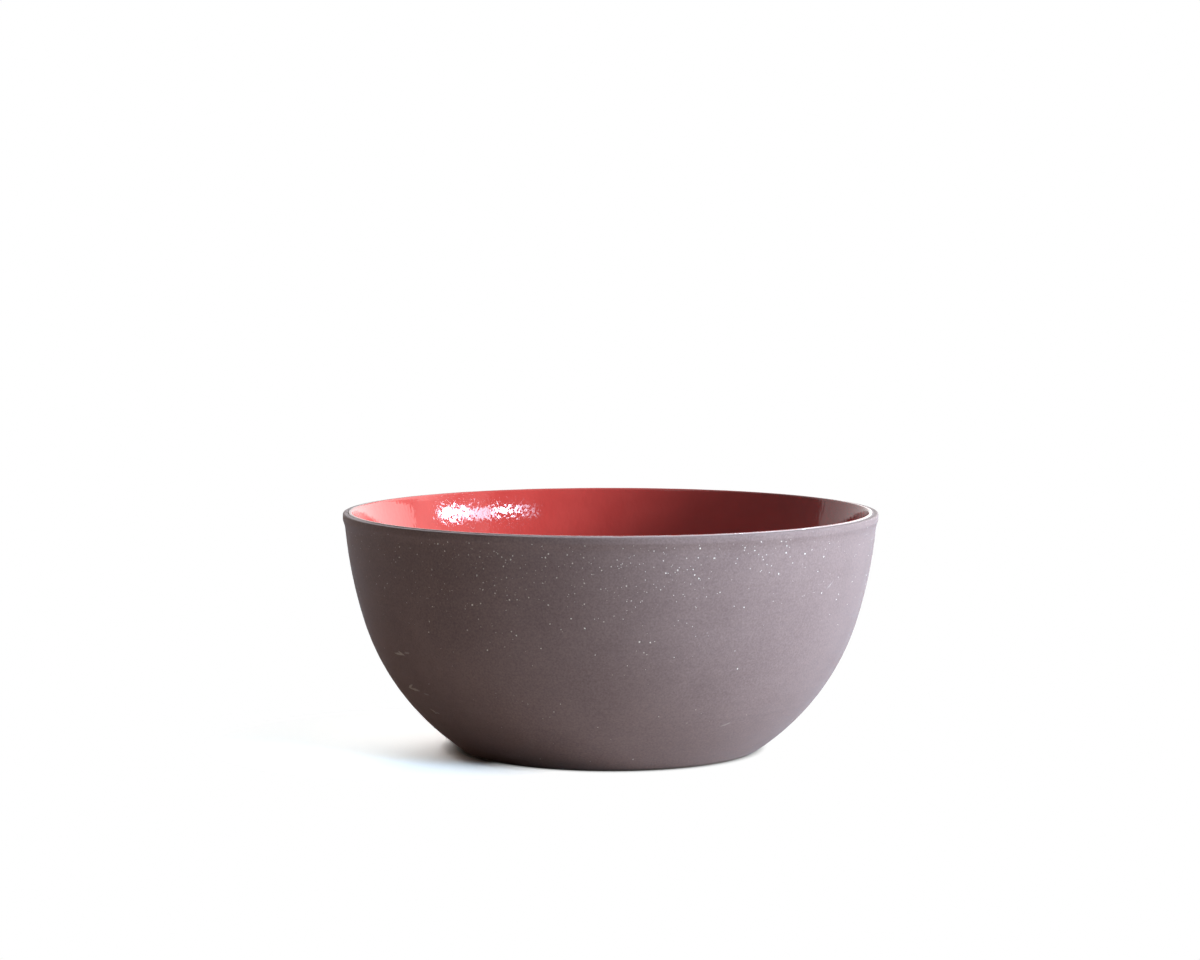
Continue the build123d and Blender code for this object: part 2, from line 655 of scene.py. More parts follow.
@dataclass(frozen=True)
class BurnishedSlip(Finish):
    """Fine iron slip, brushed on and burnished before firing.

    It gives the eye a matt grey-brown that is almost black in the shade, with slow clouds, faint level
    turning lines, a fine dry grain, a greyish band where it meets the glaze, which is partly a thin glaze
    haze and partly a painted highlight on the lip, and a few pale scuffs.
    """

    name: str = "burnished_iron_slip"
    dark: str = "#6F5955"
    light: str = "#8D756F"
    # Greyish band along the crown: partly a thin glaze haze over the slip, partly a painted highlight on the
    # lip
    haze_and_highlight: str = "#9C8A83"
    scuffed: str = "#B5A79D"
    cloud: float = 38.0
    cloud_tone: float = 0.15  # how far a cloud moves the colour, from dark at 0 to light at 1
    ring: float = 1.3
    ring_length: float = 55.0
    ring_tone: float = 0.2
    ring_relief: float = 0.15  # as a share of the grain's
    grain: float = 0.9  # real grain is about 0.2 mm, drawn coarser so that it shows
    grain_tone: float = 1.6
    tone_shift: float = 0.4  # taken off so that the tones lie about the middle
    noise_range: tuple[float, float] = (0.3, 0.7)  # between which most of a noise lies
    haze_and_highlight_reach: tuple[float, float] = (0.8, 1.7)  # from the crown, between which the painted crown highlight and haze fade out
    haze_and_highlight_share: float = 0.85
    haze_and_highlight_ragged: float = 1.4
    tear: float = 1.2  # size of the tears that break up a scuff
    tear_reach: float = 0.6
    scuff_fade: tuple[float, float] = (0.5, 1.0)  # shares of its box, between which a scuff fades out
    roughness: tuple[float, float] = (0.53, 0.63)
    specular: float = 0.2
    relief: float = 0.035

    def material(self, strokes: Sequence[Stroke]) -> bpy.types.Material:
        """Build the material.

        Args:
            strokes: The scuffs on the coat.

        Returns:
            The material.
        """
        material, graph, place = self.start()
        cloud = graph.add(
            "TexNoise", {"Vector": place, "Scale": pitch(self.cloud), "Detail": 4.0, "Roughness": 0.6}
        )
        level = graph.add("Mapping", {"Vector": place, "Scale": (1.0, 1.0, self.ring_length / self.ring)})
        rings = graph.add(
            "TexNoise", {"Vector": level, "Scale": pitch(self.ring_length), "Detail": 3.0, "Roughness": 0.65}
        )
        grain = graph.add(
            "TexNoise", {"Vector": place, "Scale": pitch(self.grain), "Detail": 2.0, "Roughness": 0.7}
        )
        most = dict(zip(("From Min", "From Max"), self.noise_range))
        tones = {"To Min": -self.cloud_tone, "To Max": self.cloud_tone}
        tone = graph.add("MapRange", {"Value": cloud, **most, **tones})
        tone = graph.add("Math", {0: rings, 1: self.ring_tone, 2: tone}, operation="MULTIPLY_ADD")
        tone = graph.add("Math", {0: grain, 1: self.grain_tone, 2: tone}, operation="MULTIPLY_ADD")
        tone = graph.add("Math", {0: tone, 1: self.tone_shift}, operation="SUBTRACT")
        colour = graph.add("Mix", {0: tone, MIX_A: linear(self.dark), MIX_B: linear(self.light)}, **COLOURS)
        # The crown band mixed in here is partly glaze haze and partly a painted highlight; the scuffs are
        # real wear
        for share, laid in (
            (self._haze_and_highlight(graph, grain), self.haze_and_highlight),
            (self._scuffs(graph, place, strokes), self.scuffed),
        ):
            colour = graph.add("Mix", {0: share, MIX_A: colour, MIX_B: linear(laid)}, **COLOURS)
        smooth, dry = self.roughness
        rough = graph.add("MapRange", {"Value": grain, **most, "To Min": smooth, "To Max": dry})
        height = graph.add("Math", {0: rings, 1: self.ring_relief, 2: grain}, operation="MULTIPLY_ADD")
        bump = graph.add("Bump", {"Height": height, "Distance": self.relief * MM, "Strength": 1.0})
        coat = {"Base Color": colour, "Roughness": rough, "Normal": bump, "Specular IOR Level": self.specular}
        self.close(graph, coat)
        return material

    def _haze_and_highlight(self, graph: Graph, grain: Socket) -> Socket:
        """Fade the crown band, partly glaze haze and partly a painted highlight, out below the crown.

        Args:
            graph: The material's graph.
            grain: The noise that makes the line ragged.

        Returns:
            The share of the painted crown highlight and haze.
        """
        crown = graph.add("Attribute", out="Fac", attribute_name=Mark.FROM_CROWN.value)
        ragged = graph.add("Math", {0: grain, 1: self.haze_and_highlight_ragged, 2: crown}, operation="MULTIPLY_ADD")
        full, gone = self.haze_and_highlight_reach
        fade = {"From Min": gone, "From Max": full, "To Max": self.haze_and_highlight_share}
        return graph.add("MapRange", {"Value": ragged, **fade})

    def _scuffs(self, graph: Graph, place: Socket, strokes: Sequence[Stroke]) -> Socket:
        """Draw the scuffs: each fills its box up to a ragged ellipsoid.

        Args:
            graph: The material's graph.
            place: The object coordinates.
            strokes: The scuffs.

        Returns:
            The share of scuffed colour.
        """
        tears = graph.add(
            "TexNoise", {"Vector": place, "Scale": pitch(self.tear), "Detail": 3.0, "Roughness": 0.7}, "Color"
        )
        reach = self.tear_reach * MM
        span = {1: (2 * reach,) * 3, 2: (-reach,) * 3}
        torn = graph.add("VectorMath", {0: tears, **span}, operation="MULTIPLY_ADD")
        torn = graph.add("VectorMath", {0: torn, 1: place}, operation="ADD")
        full, gone = self.scuff_fade
        share: Socket | float = 0.0
        for stroke in strokes:
            box = {"Location": stroke.middle, "Rotation": stroke.turn, "Scale": stroke.half_size}
            local = graph.add("Mapping", {"Vector": torn, **box}, vector_type="TEXTURE")
            away = graph.add("VectorMath", {0: local}, "Value", operation="LENGTH")
            fade = {"From Min": gone, "From Max": full, "To Max": stroke.strength}
            filled = graph.add("MapRange", {"Value": away, **fade})
            share = graph.add("Math", {0: share, 1: filled}, operation="MAXIMUM")
        return share


@dataclass(frozen=True)
class FeldsparGrain(Finish):
    """Grains of feldspar and quartz in the slip, laid bare by the burnishing.

    They give the eye tiny dry, pale points, some creamy and some grey.
    """

    name: str = "feldspar_grain"
    dark: str = "#B5A496"
    light: str = "#F7EBDC"
    variety: float = 7.0  # over which the grains change from dark to light
    variety_range: tuple[float, float] = (0.3, 0.6)
    roughness: float = 0.55

    def material(self) -> bpy.types.Material:
        """Build the material."""
        material, graph, place = self.start()
        variety = graph.add("TexNoise", {"Vector": place, "Scale": pitch(self.variety), "Detail": 2.0})
        low, high = self.variety_range
        share = graph.add("MapRange", {"Value": variety, "From Min": low, "From Max": high})
        colour = graph.add("Mix", {0: share, MIX_A: linear(self.dark), MIX_B: linear(self.light)}, **COLOURS)
        self.close(graph, {"Base Color": colour, "Roughness": self.roughness})
        return material


@dataclass(frozen=True)
class CoralGlaze(Finish):
    """Thick gloss glaze, poured into the bowl and fired.

    It gives the eye a wet, saturated coral that mirrors the window, with an orange peel drawn out down
    the wall that breaks up the edge of each reflection, and a thin pale line along its edge on the lip,
    which is partly thinner glaze and partly a painted highlight.
    """

    name: str = "coral_gloss_glaze"
    deep: str = "#A82D26"
    bright: str = "#BA3D34"
    # Pale colour of the glaze's edge on the crown: partly thinner glaze, partly a painted highlight
    thin_glaze_and_highlight: str = "#BD9F97"
    cloud: float = 16.0
    peel: float = 1.7
    peel_length: float = 3.4
    peel_height: float = 0.065
    roughness: float = 0.06
    refraction: float = 1.52
    edge_reach: tuple[float, float] = (-0.2, 0.2)  # from the crown, between which the pale edge, partly a painted highlight, fades out
    edge_ragged: float = -0.8

    def material(self) -> bpy.types.Material:
        """Build the material."""
        material, graph, place = self.start()
        cloud = graph.add("TexNoise", {"Vector": place, "Scale": pitch(self.cloud), "Detail": 3.0})
        drawn = graph.add("Mapping", {"Vector": place, "Scale": (1.0, 1.0, self.peel / self.peel_length)})
        peel = graph.add("TexNoise", {"Vector": drawn, "Scale": pitch(self.peel), "Detail": 1.0})
        colour = graph.add("Mix", {0: cloud, MIX_A: linear(self.deep), MIX_B: linear(self.bright)}, **COLOURS)
        crown = graph.add("Attribute", out="Fac", attribute_name=Mark.FROM_CROWN.value)
        # Mask of the pale edge on the crown, which is partly a painted highlight
        ragged = graph.add("Math", {0: peel, 1: self.edge_ragged, 2: crown}, operation="MULTIPLY_ADD")
        full, gone = self.edge_reach
        edge = graph.add("MapRange", {"Value": ragged, "From Min": gone, "From Max": full})
        colour = graph.add("Mix", {0: edge, MIX_A: colour, MIX_B: linear(self.thin_glaze_and_highlight)}, **COLOURS)
        bump = graph.add("Bump", {"Height": peel, "Distance": self.peel_height * MM, "Strength": 1.0})
        gloss = {"Roughness": self.roughness, "IOR": self.refraction}
        self.close(graph, {"Base Color": colour, "Normal": bump, **gloss})
        return material


@dataclass(frozen=True)
class BareClay(Finish):
    """Dark stoneware clay, trimmed on the wheel and fired bare.

    It gives the eye a dull, dry brown with coarse grit, paler where the foot has rubbed on tables.
    """

    name: str = "bare_fired_stoneware"
    dark: str = "#4F403B"
    light: str = "#6F5C54"
    rubbed: str = "#8A7A70"
    grit: float = 0.8
    grit_tone: float = 0.8
    tone_shift: float = 0.4  # taken off so that the tones lie about the middle
    cloud: float = 22.0
    relief: float = 0.12
    relief_share: float = 0.7
    roughness: float = 0.82

    def material(self) -> bpy.types.Material:
        """Build the material."""
        material, graph, place = self.start()
        cloud = graph.add("TexNoise", {"Vector": place, "Scale": pitch(self.cloud), "Detail": 4.0})
        grit = graph.add(
            "TexNoise", {"Vector": place, "Scale": pitch(self.grit), "Detail": 3.0, "Roughness": 0.7}
        )
        tone = graph.add("Math", {0: grit, 1: self.grit_tone, 2: cloud}, operation="MULTIPLY_ADD")
        tone = graph.add("Math", {0: tone, 1: self.tone_shift}, operation="SUBTRACT")
        colour = graph.add("Mix", {0: tone, MIX_A: linear(self.dark), MIX_B: linear(self.light)}, **COLOURS)
        wear = graph.add("Attribute", out="Fac", attribute_name=Mark.WEAR.value)
        worn = graph.add("Math", {0: wear, 1: grit}, operation="MULTIPLY")
        colour = graph.add("Mix", {0: worn, MIX_A: colour, MIX_B: linear(self.rubbed)}, **COLOURS)
        bump = graph.add(
            "Bump", {"Height": grit, "Distance": self.relief * MM, "Strength": self.relief_share}
        )
        self.close(graph, {"Base Color": colour, "Roughness": self.roughness, "Normal": bump})
        return material


@dataclass(frozen=True)
class Scuff:
    """A pale rubbed stroke on the coat.

    Attributes:
        start: Where it starts, as degrees round the axis and height in millimetres.
        end: Where it ends, in the same terms.
        width: In millimetres.
        strength: How much it shows, from 0 to 1.
        depth: Half the depth to which it is drawn, in millimetres.
    """

    start: tuple[float, float]
    end: tuple[float, float]
    width: float = 1.2
    strength: float = 0.95
    depth: float = 2.0


@dataclass(frozen=True)
class SlipCoat:
    """The burnished slip over the outside, from the crown of the lip to just above the foot."""

    section: Section
    finish: BurnishedSlip = BurnishedSlip()
    columns: int = 480
    steps: tuple[float, ...] = (0.25, 0.4, 0.85, 0.85)  # along the section, crown to foot
    lip_power: float = 8.0  # how tight the outer edge of the lip is, where 2 is round
    rings: Ripples = Ripples((3.1, 5.3, 8.7), (1, 1, 2), (0.008, 0.010, 0.012), 11)
    wobble: Ripples = Ripples((95.0, 140.0, 180.0), (2, 3, 5), (0.02, 0.02, 0.012), 12)
    scuffs: tuple[Scuff, ...] = (
        Scuff((-151.2, 52.3), (-145.9, 52.6), 1.3),
        Scuff((-148.8, 53.9), (-145.6, 52.2)),
        Scuff((-145.8, 53.5), (-143.0, 54.2), 1.1, 0.6),
        Scuff((-148.7, 37.9), (-153.4, 34.7)),
        Scuff((-153.3, 35.3), (-146.4, 35.0), 1.5),
        Scuff((-145.6, 34.1), (-142.8, 34.0), 1.1, 0.5),
        Scuff((-148.0, 26.2), (-145.3, 24.2)),
        Scuff((-145.7, 24.7), (-143.8, 24.4), 1.0, 0.6),
        Scuff((-59.1, 22.4), (-55.5, 24.3), 0.8, 0.4),
        Scuff((-37.3, 83.8), (-34.7, 87.9), 0.8, 0.4),
        Scuff((38.0, 47.5), (41.5, 46.0), 0.9, 0.5),
        Scuff((97.0, 71.0), (99.0, 74.5), 0.8, 0.5),
        Scuff((103.0, 30.5), (106.5, 31.0), 0.9, 0.5),
    )

    def face(self) -> Floats:
        """Lay points down the face of the coat."""
        return self.section.outside.beside(self.section.coat).sampled(self.steps)

    def relief(self, along: Floats, angle: Floats) -> Floats:
        """Add the squared lip, the turning rings and the slow wobble of the thrown wall."""
        waves = self.rings.relief(along, angle) + self.wobble.relief(along, angle)
        radius = self.section.lip_thickness / 2 + self.section.coat
        return waves + squared_lip(along / radius, radius, 0.0, radius, self.lip_power)

    def on_face(self, angle: Floats, height: Floats) -> Floats:
        """Find points of the plain face at angles in degrees and heights in millimetres."""
        face = self.face()[::-1]
        radius = np.interp(height, face[:, 1], face[:, 0])
        turn = np.radians(angle)
        return np.stack([radius * np.cos(turn), radius * np.sin(turn), height], axis=-1)

    def stroke(self, scuff: Scuff) -> Stroke:
        """Find the box of a scuff: along its two ends, out of the face, and across both."""
        first, last = self.on_face(*np.array([scuff.start, scuff.end]).T)
        along = (last - first) / math.dist(first, last)
        middle = (first + last) / 2
        radial = middle * np.array([1.0, 1.0, 0.0])
        out = radial - along * (radial @ along)
        out = out / np.linalg.norm(out)
        turn = Matrix(np.stack([along, np.cross(out, along), out], axis=1).tolist()).to_euler()
        half_size = np.array([math.dist(first, last) / 2, scuff.width / 2, scuff.depth]) * MM
        return Stroke(tuple((middle * MM).tolist()), tuple(turn), tuple(half_size.tolist()), scuff.strength)

    def build(self) -> bpy.types.Object:
        """Build and dress the coat."""
        face = self.face()
        along = lengths_along(face)
        relief = self.relief(*np.broadcast_arrays(along[:, None], angles_round(self.columns)))
        back = self.section.outside.sampled(self.section.outside_steps)[::-1]
        piece = TurnedPiece("slip_coat_burnished", face, relief, Mark.FROM_CROWN, along, after=back)
        made = piece.build()
        made.data.materials.append(self.finish.material([self.stroke(scuff) for scuff in self.scuffs]))
        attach(made, BODY)
        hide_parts(Solid.SLIP_COAT.value)
        return made


@dataclass(frozen=True)
class MineralGrains:
    """Pale grains that lie bare in the coat, most of them near the rim.

    Attributes:
        coat: The coat that holds them.
        finish: What they are.
        tries: Grains that are tried, of which the density keeps a share.
        margin: Length along the section that stays bare at each end of the coat, in millimetres.
        sparse: Share of the tries that is kept low on the wall.
        crowded: Heights between which that share rises to one, in millimetres.
        thick_side: Degrees round the axis of the side that has most of them.
        thick_reach: Cosines of the turn from that side, between which their share rises to one.
        thin_share: Their share on the other side.
        diameter: Their middle diameter in millimetres.
        spread: Standard deviation of the logarithm of the diameter.
        limits: Least and greatest diameter in millimetres.
        corners: Corners of a grain's widest ring.
        uneven: Least and greatest reach of a corner, as a share of half the diameter.
        lift: How far that ring lies above the coat, in millimetres.
        swell: Height of a grain above its ring, as a share of its diameter.
        sunk: Depth of a grain below its ring, in the same terms.
        seed: Seed of the scatter.
    """

    coat: SlipCoat
    finish: FeldsparGrain = FeldsparGrain()
    tries: int = 7200
    margin: float = 4.4
    sparse: float = 0.065
    crowded: tuple[float, float] = (56.0, 106.0)
    thick_side: float = -100.0
    thick_reach: tuple[float, float] = (0.55, 1.0)
    thin_share: float = 0.35
    diameter: float = 0.34
    spread: float = 0.42
    limits: tuple[float, float] = (0.18, 0.75)
    corners: int = 6
    uneven: tuple[float, float] = (0.75, 1.2)
    lift: float = 0.02
    swell: float = 0.12
    sunk: float = 0.12
    seed: int = 41

    def build(self) -> bpy.types.Object:
        """Build and dress the grains.

        Each grain has its corners on an uneven ring in the face of the coat, one tip above the ring and
        one below it, and a triangle from each side of the ring to each tip.

        Returns:
            The new object.
        """
        dice = np.random.default_rng(self.seed)
        along, angle = self._scatter(dice)
        count, sides = len(along), self.corners
        face = self.coat.face()
        lengths = lengths_along(face)
        place, out = [
            np.stack([np.interp(along, lengths, column) for column in values.T], axis=1)
            for values in (face, normals_of(face, False))
        ]
        place = place + out * (self.coat.relief(along, angle) + self.lift)[:, None]

        diameter = self.diameter * np.exp(dice.normal(0.0, self.spread, count))
        diameter = np.clip(diameter, *self.limits)
        corner = dice.uniform(0.0, FULL_TURN, (count, 1)) + angles_round(sides)
        reach = diameter[:, None] / 2 * dice.uniform(*self.uneven, (count, sides))
        tips = [(0, 0), (0, 2)]
        down, across = np.pad(reach * np.sin(corner), tips), np.pad(reach * np.cos(corner), tips)
        rise = np.zeros((count, sides + 2))
        rise[:, sides] = self.swell * diameter
        rise[:, sides + 1] = -self.sunk * diameter

        radius = place[:, :1] + out[:, :1] * rise - out[:, 1:] * down
        height = place[:, 1:] + out[:, 1:] * rise + out[:, :1] * down
        cos, sin = np.cos(angle)[:, None], np.sin(angle)[:, None]
        points = np.stack([radius * cos - across * sin, radius * sin + across * cos, height], axis=-1)
        ring = np.arange(sides)
        following = (ring + 1) % sides
        top = np.stack([ring, following, np.full(sides, sides)], axis=1)
        bottom = np.stack([following, ring, np.full(sides, sides + 1)], axis=1)
        faces = np.concatenate([top, bottom]) + (sides + 2) * np.arange(count)[:, None, None]

        mesh = bpy.data.meshes.new("mineral_grains")
        mesh.from_pydata((points.reshape(-1, 3) * MM).tolist(), [], faces.reshape(-1, 3).tolist())
        mesh.validate()
        made = add_object("mineral_grains", mesh)
        made.data.materials.append(self.finish.material())
        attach(made, BODY)
        return made

    def _scatter(self, dice: np.random.Generator) -> tuple[Floats, Floats]:
        """Scatter grains over the coat and keep those that its density allows.

        Args:
            dice: Source of chance.

        Returns:
            Length along the section in millimetres, and angle round the axis in radians.
        """
        face = self.coat.face()
        lengths = lengths_along(face)
        along = dice.uniform(self.margin, lengths[-1] - self.margin, self.tries)
        angle = dice.uniform(0.0, FULL_TURN, self.tries)
        radius = np.interp(along, lengths, face[:, 0])
        height = np.interp(along, lengths, face[:, 1])
        widest = face[:, 0].max()
        share = self.sparse + (1 - self.sparse) * smooth_step(height, *self.crowded)
        facing = np.cos(angle - math.radians(self.thick_side))
        share = share * (self.thin_share + (1 - self.thin_share) * smooth_step(facing, *self.thick_reach))
        kept = dice.uniform(0.0, 1.0, self.tries) < share * radius / widest
        tallest = self.lift + self.swell * self.limits[1]
        kept &= radius + tallest < widest
        return along[kept], angle[kept]


@dataclass(frozen=True)
class GlazeLining:
    """The glaze inside, from its thin edge on the crown down the wall and across the floor.

    Attributes:
        section: The bowl's half section.
        finish: What it is.
        columns: Points round the axis.
        steps: Spacing of points along the section, crown to floor, in millimetres.
        floor_step: Spacing across the floor, in millimetres.
        edge_rounding: Radius of its edge on the crown, in millimetres.
        edge_points: Points on that edge.
        edge_taken: Points of the face that the edge takes the place of.
        swell: How much thicker than its solid it is where it is thickest, in millimetres.
        swell_from: Length from the crown of that place, in millimetres.
        swell_curve: Curvature of its thickness there, per millimetre.
        swell_gone: Lengths from the crown between which the swelling fades out, in millimetres.
        lip_power: How tight the inner edge of the lip is, where 2 is round.
        lip_lean: Degrees by which its side leans back past the wall.
        flow: Waves that it froze in.
        flow_lip: Lengths from the crown between which they rise, in millimetres.
        flow_middle: Radii between which they rise from the middle of the floor, in millimetres.
        nicks: Unevenness of its edge.
        nicks_gone: Lengths from the crown between which the nicks fade out, in millimetres.
    """

    section: Section
    finish: CoralGlaze = CoralGlaze()
    columns: int = 432
    steps: tuple[float, ...] = (0.18, 0.95, 0.95, 1.1)
    floor_step: float = 1.8
    edge_rounding: float = 0.3
    edge_points: int = 5
    edge_taken: int = 3
    swell: float = 0.2
    swell_from: float = 18.8
    swell_curve: float = 0.0073
    swell_gone: tuple[float, float] = (24.0, 44.0)
    lip_power: float = 8.0
    lip_lean: float = 3.0
    flow: Ripples = Ripples.scattered(26, (6.0, 28.0), 34, 0.0025, 21)
    flow_lip: tuple[float, float] = (0.5, 6.0)
    flow_middle: tuple[float, float] = (0.0, 20.0)
    nicks: Ripples = Ripples.scattered(14, (30.0, 60.0), 110, 0.014, 22)
    nicks_gone: tuple[float, float] = (0.3, 1.6)

    def build(self) -> bpy.types.Object:
        """Build and dress the lining."""
        section = self.section
        face = section.inside.beside(-section.glaze).sampled(self.steps)
        middle = np.array([0.0, face[-1, 1]])
        floor = np.linspace(face[-1], middle, math.ceil(face[-1, 0] / self.floor_step))[1:]
        clay = section.inside.sampled(section.inside_steps)
        under = np.concatenate([clay, [[0.0, clay[-1, 1]]]])
        corners = np.stack([clay[0], face[0], face[self.edge_taken]])
        edge = rounded(corners, self.edge_rounding, self.edge_points)[1:-1]
        down = np.concatenate([edge, face[self.edge_taken:], floor])

        along = lengths_along(down)
        flowing = smooth_step(down[:, 0], *self.flow_middle) * smooth_step(along, *self.flow_lip)
        nicked = 1.0 - smooth_step(along, *self.nicks_gone)
        grid = np.broadcast_arrays(along[:, None], angles_round(self.columns))
        relief = self.flow.relief(*grid) * flowing[:, None] + self.nicks.relief(*grid) * nicked[:, None]
        relief += self.thickening(along)[:, None]
        up, height, crown = down[::-1], relief[::-1], along[::-1]
        piece = TurnedPiece("glaze_lining_gloss", up, height, Mark.FROM_CROWN, crown, after=under)
        made = piece.build()
        made.data.materials.append(self.finish.material())
        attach(made, BODY)
        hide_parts(Solid.GLAZE_LINING.value)
        return made

    def thickening(self, along: Floats) -> Floats:
        """Work out how much thicker the glaze is than its solid.

        It ran down a little as it melted, so it is thin at the lip and thick below it: on the wall the
        thickness falls off by half the curvature times the square of the length from the thickest
        place. The side of the lip goes on up from there to a level crown, and leans back a little more.

        Args:
            along: Length from the glaze's edge on the crown in millimetres.

        Returns:
            The difference in millimetres.
        """
        section = self.section
        radius = section.lip_thickness / 2 + section.glaze
        heading = section.inside.headings[1]
        lip_turn = math.atan2(-heading[1], -heading[0])
        # Round its edge the length is a quarter circle, where the crown would have one radius
        lip_start = self.edge_rounding * (math.pi / 2 - 1.0)
        lip_end = lip_start + radius * lip_turn
        slope = self.swell_curve * (self.swell_from - lip_end)
        lean = math.pi / 2 - lip_turn + math.atan(slope) + math.radians(self.lip_lean)
        wall = self.swell - self.swell_curve / 2 * (along - self.swell_from) ** 2
        sunk = self.swell - slope**2 / (2 * self.swell_curve)
        reach = (radius + sunk) * math.sin(lip_turn + lean)
        lip = squared_lip((along - lip_start) / radius, radius, lean, reach, self.lip_power)
        return np.where(along < lip_end, lip, wall * (1.0 - smooth_step(along, *self.swell_gone)))


@dataclass(frozen=True)
class ClayBody:
    """The turned clay, of which the foot ring, the recess inside it and a narrow band show.

    Attributes:
        section: The bowl's half section.
        finish: What it is.
        columns: Points round the axis.
        trimming: Waves that the trimming tool left in the recess.
        trimmed_from: Distances in from the foot ring between which they rise, in millimetres.
        trimmed_middle: Radii between which they rise from the middle, in millimetres.
        worn: Heights above the table between which the wear fades out, in millimetres.
    """

    section: Section
    finish: BareClay = BareClay()
    columns: int = 432
    trimming: Ripples = Ripples((1.9, 3.4, 7.5), (1, 1, 1), (0.015, 0.02, 0.02), 31)
    trimmed_from: tuple[float, float] = (3.0, 6.0)
    trimmed_middle: tuple[float, float] = (0.0, 4.0)
    worn: tuple[float, float] = (0.1, 0.9)

    def build(self) -> bpy.types.Object:
        """Build and dress the clay."""
        section = self.section
        inside = section.inside.sampled(section.inside_steps)
        outside = section.outside.sampled(section.outside_steps)
        hidden = np.concatenate([[[0.0, inside[-1, 1]]], inside[::-1], outside[1:-1]])
        under = section.underside()
        radius, height = under.T
        trimmed = smooth_step(section.recess_radius - radius, *self.trimmed_from)
        trimmed = trimmed * smooth_step(radius, *self.trimmed_middle)
        grid = np.broadcast_arrays(lengths_along(under)[:, None], angles_round(self.columns))
        relief = self.trimming.relief(*grid) * trimmed[:, None]
        wear = 1.0 - smooth_step(height, *self.worn)
        piece = TurnedPiece("clay_body_bare", under, relief, Mark.WEAR, wear, before=hidden)
        made = piece.build()
        made.data.materials.append(self.finish.material())
        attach(made, BODY)
        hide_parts(Solid.CLAY_BODY.value)
        return made


@dataclass(frozen=True)
class Lamp:
    """One upright soft lamp that faces the bowl and lights its matt surfaces.

    Attributes:
        name: Its name.
        middle: Its middle, in metres.
        size: Width and height in metres.
        power: In watts.
        colour: Colour of its light.
    """

    name: str
    middle: tuple[float, float, float]
    size: tuple[float, float]
    power: float
    colour: str

    def build(self) -> None:
        """Hang the lamp."""
        light = bpy.data.lights.new(self.name, "AREA")
        light.shape = "RECTANGLE"
        light.size, light.size_y = self.size
        light.energy = self.power
        light.color = linear(self.colour)[:3]
        lamp = bpy.data.objects.new(self.name, light)
        lamp.location = self.middle
        x, y, _ = self.middle
        lamp.rotation_euler = (math.radians(90.0), 0.0, math.atan2(y, x) + math.radians(90.0))
        lamp.visible_camera = False
        lamp.visible_glossy = False
        bpy.context.collection.objects.link(lamp)


@dataclass(frozen=True)
class Card:
    """One upright card that faces the bowl and shows in its gloss alone.

    Attributes:
        name: Its name.
        middle: Its middle, in metres.
        size: Width and height in metres.
        glow: Brightness at equal steps along it, from its end on the right as seen from the bowl.
        roll: Degrees by which that end is raised.
        colour: Colour of its light.
        columns: Points along it.
    """

    name: str
    middle: tuple[float, float, float]
    size: tuple[float, float]
    glow: tuple[float, ...]
    roll: float = 0.0
    colour: str = WHITE
    columns: int = 40

    def build(self) -> None:
        """Stand the card: a row of points along its lower edge and one along its upper edge."""
        heading = math.atan2(self.middle[1], self.middle[0])
        roll = math.radians(self.roll)
        level = np.array([-math.sin(heading), math.cos(heading), 0.0])
        upright = np.array([0.0, 0.0, 1.0])
        along = math.cos(roll) * level - math.sin(roll) * upright
        across = math.sin(roll) * level + math.cos(roll) * upright
        share = np.linspace(0.0, 1.0, self.columns)
        row = np.array(self.middle) + np.outer((share - 0.5) * self.size[0], along)
        points = np.concatenate([row - across * self.size[1] / 2, row + across * self.size[1] / 2])
        near = np.arange(self.columns - 1)
        faces = np.stack([near, near + 1, near + self.columns + 1, near + self.columns], axis=1)

        mesh = bpy.data.meshes.new(self.name)
        mesh.from_pydata(points.tolist(), [], faces.tolist())
        glow = np.interp(share, np.linspace(0.0, 1.0, len(self.glow)), self.glow)
        layer = mesh.attributes.new(Mark.GLOW.value, "FLOAT", "POINT")
        layer.data.foreach_set("value", np.tile(glow, 2).astype(np.float32))
        material = bpy.data.materials.new(self.name)
        graph = Graph.of(material)
        strength = graph.add("Attribute", out="Fac", attribute_name=Mark.GLOW.value)
        light = graph.add("Emission", {"Color": linear(self.colour), "Strength": strength})
        graph.add("OutputMaterial", {"Surface": light})
        mesh.materials.append(material)
        card = add_object(self.name, mesh)
        card.visible_camera = False
        card.visible_diffuse = False
        card.visible_shadow = False


PANE_WIDE = (14.0, 20.0, 20.0, 24.0, 45.0, 90.0, 90.0, 60.0, 0.0)
PANE_NARROW = (0.0, 8.0, 14.0, 24.0, 45.0, 70.0, 55.0, 24.0)


